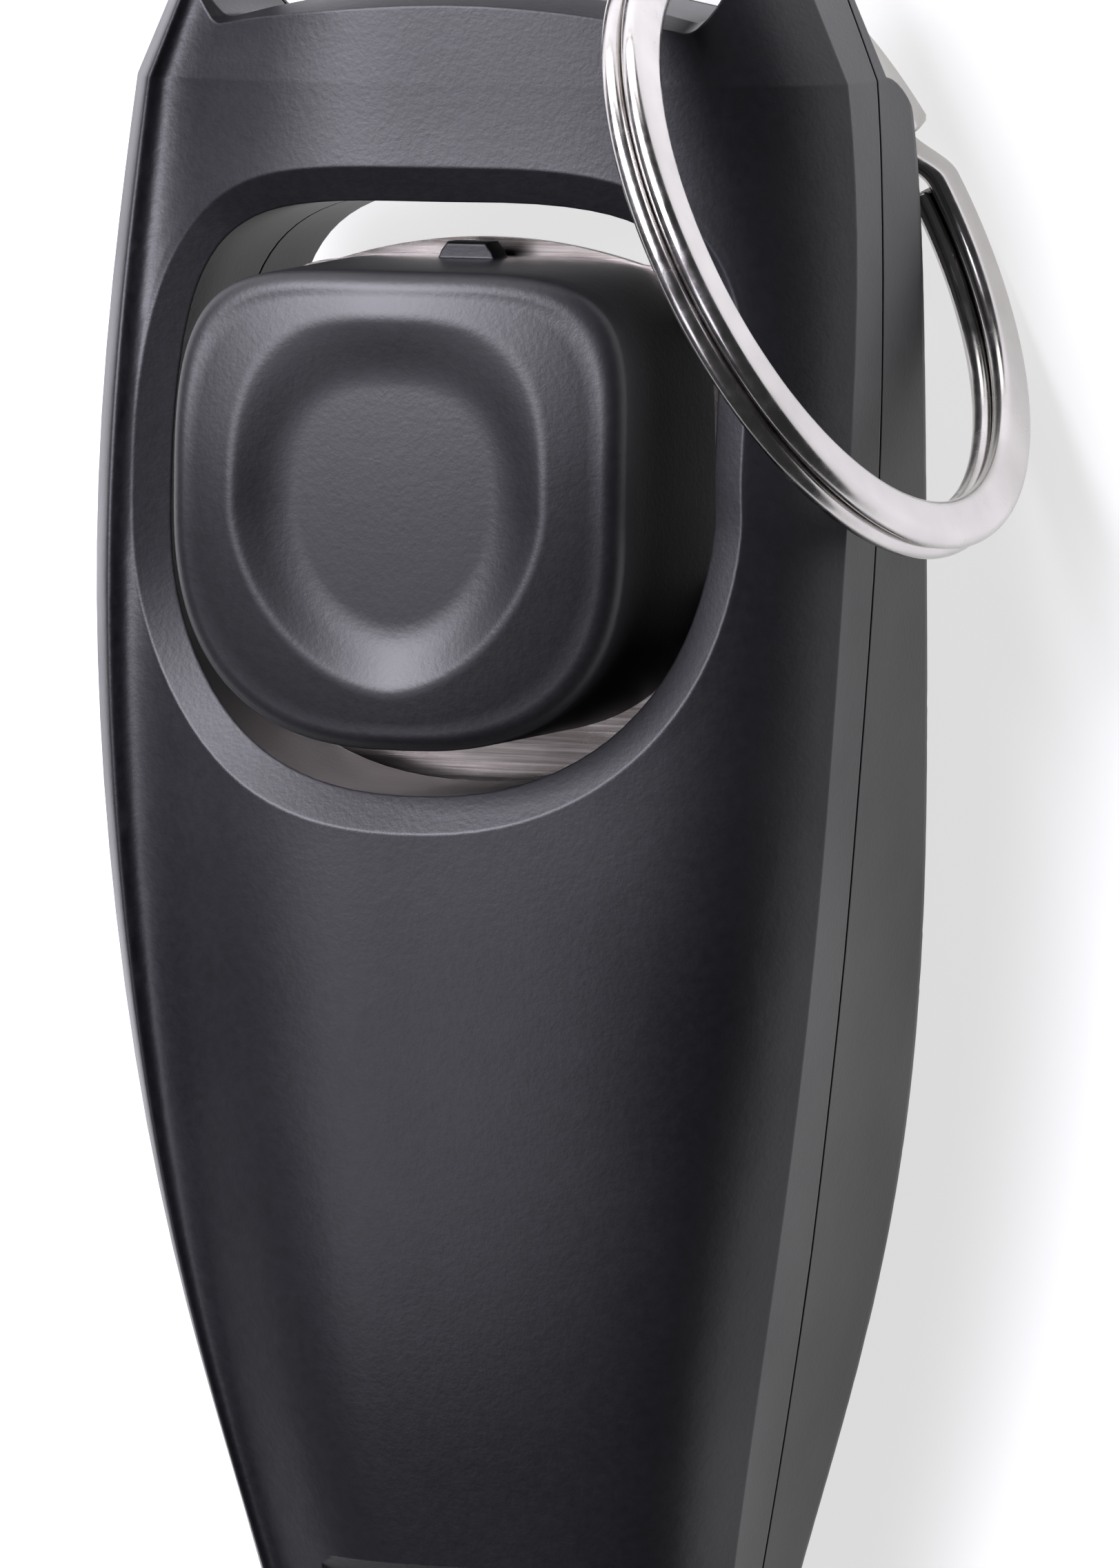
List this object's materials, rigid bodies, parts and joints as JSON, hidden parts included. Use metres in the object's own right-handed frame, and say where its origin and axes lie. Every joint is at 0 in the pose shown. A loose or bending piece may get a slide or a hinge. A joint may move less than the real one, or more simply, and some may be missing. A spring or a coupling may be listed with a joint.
{
  "type": "clicker trainer",
  "caption": "Hand-held pet training clicker with thumb button, whistle mouthpiece, strap slot and split ring.",
  "frame": {"origin": "centre of the flat area under the whistle chamber that the object lies on", "axes": "+X across the width, +Y from the whistle mouthpiece to the strap end, +Z out of the front, where the thumb button is"},
  "size_m": [0.0345, 0.079, 0.0249],
  "materials": {
    "black_plastic": "fine spark-eroded satin texture",
    "button_plastic": "fine spark-eroded satin texture",
    "spring_steel": "rolled and brushed",
    "ring_steel": "nickel plated",
    "screw_steel": "black zinc",
    "nut_steel": "plain"
  },
  "bodies": {
    "housing": {"front_shell": "black_plastic", "rear_shell": "black_plastic", "whistle_block": "black_plastic", "click_plate": "spring_steel", "plate_clamp": "black_plastic", "clamp_screws": "screw_steel", "housing_screws": "screw_steel"},
    "button": {"button": "button_plastic", "push_nuts": "nut_steel"},
    "ring": {"split_ring": "ring_steel"}
  },
  "joints": [
    {"name": "button_press", "type": "hinge", "parent": "housing", "child": "button", "pos_m": [0, 0.0137, 0.01125], "axis": [-1, 0, 0], "range_deg": [0, 5.5], "stiffness_Nm_per_rad": 0.3, "deforming": ["click_plate"]},
    {"name": "ring_swing", "type": "hinge", "parent": "housing", "child": "ring", "pos_m": [0.00772, 0.04623, 0.01251], "axis": [0, 0, 1], "range_deg": [0, 115]}
  ]
}
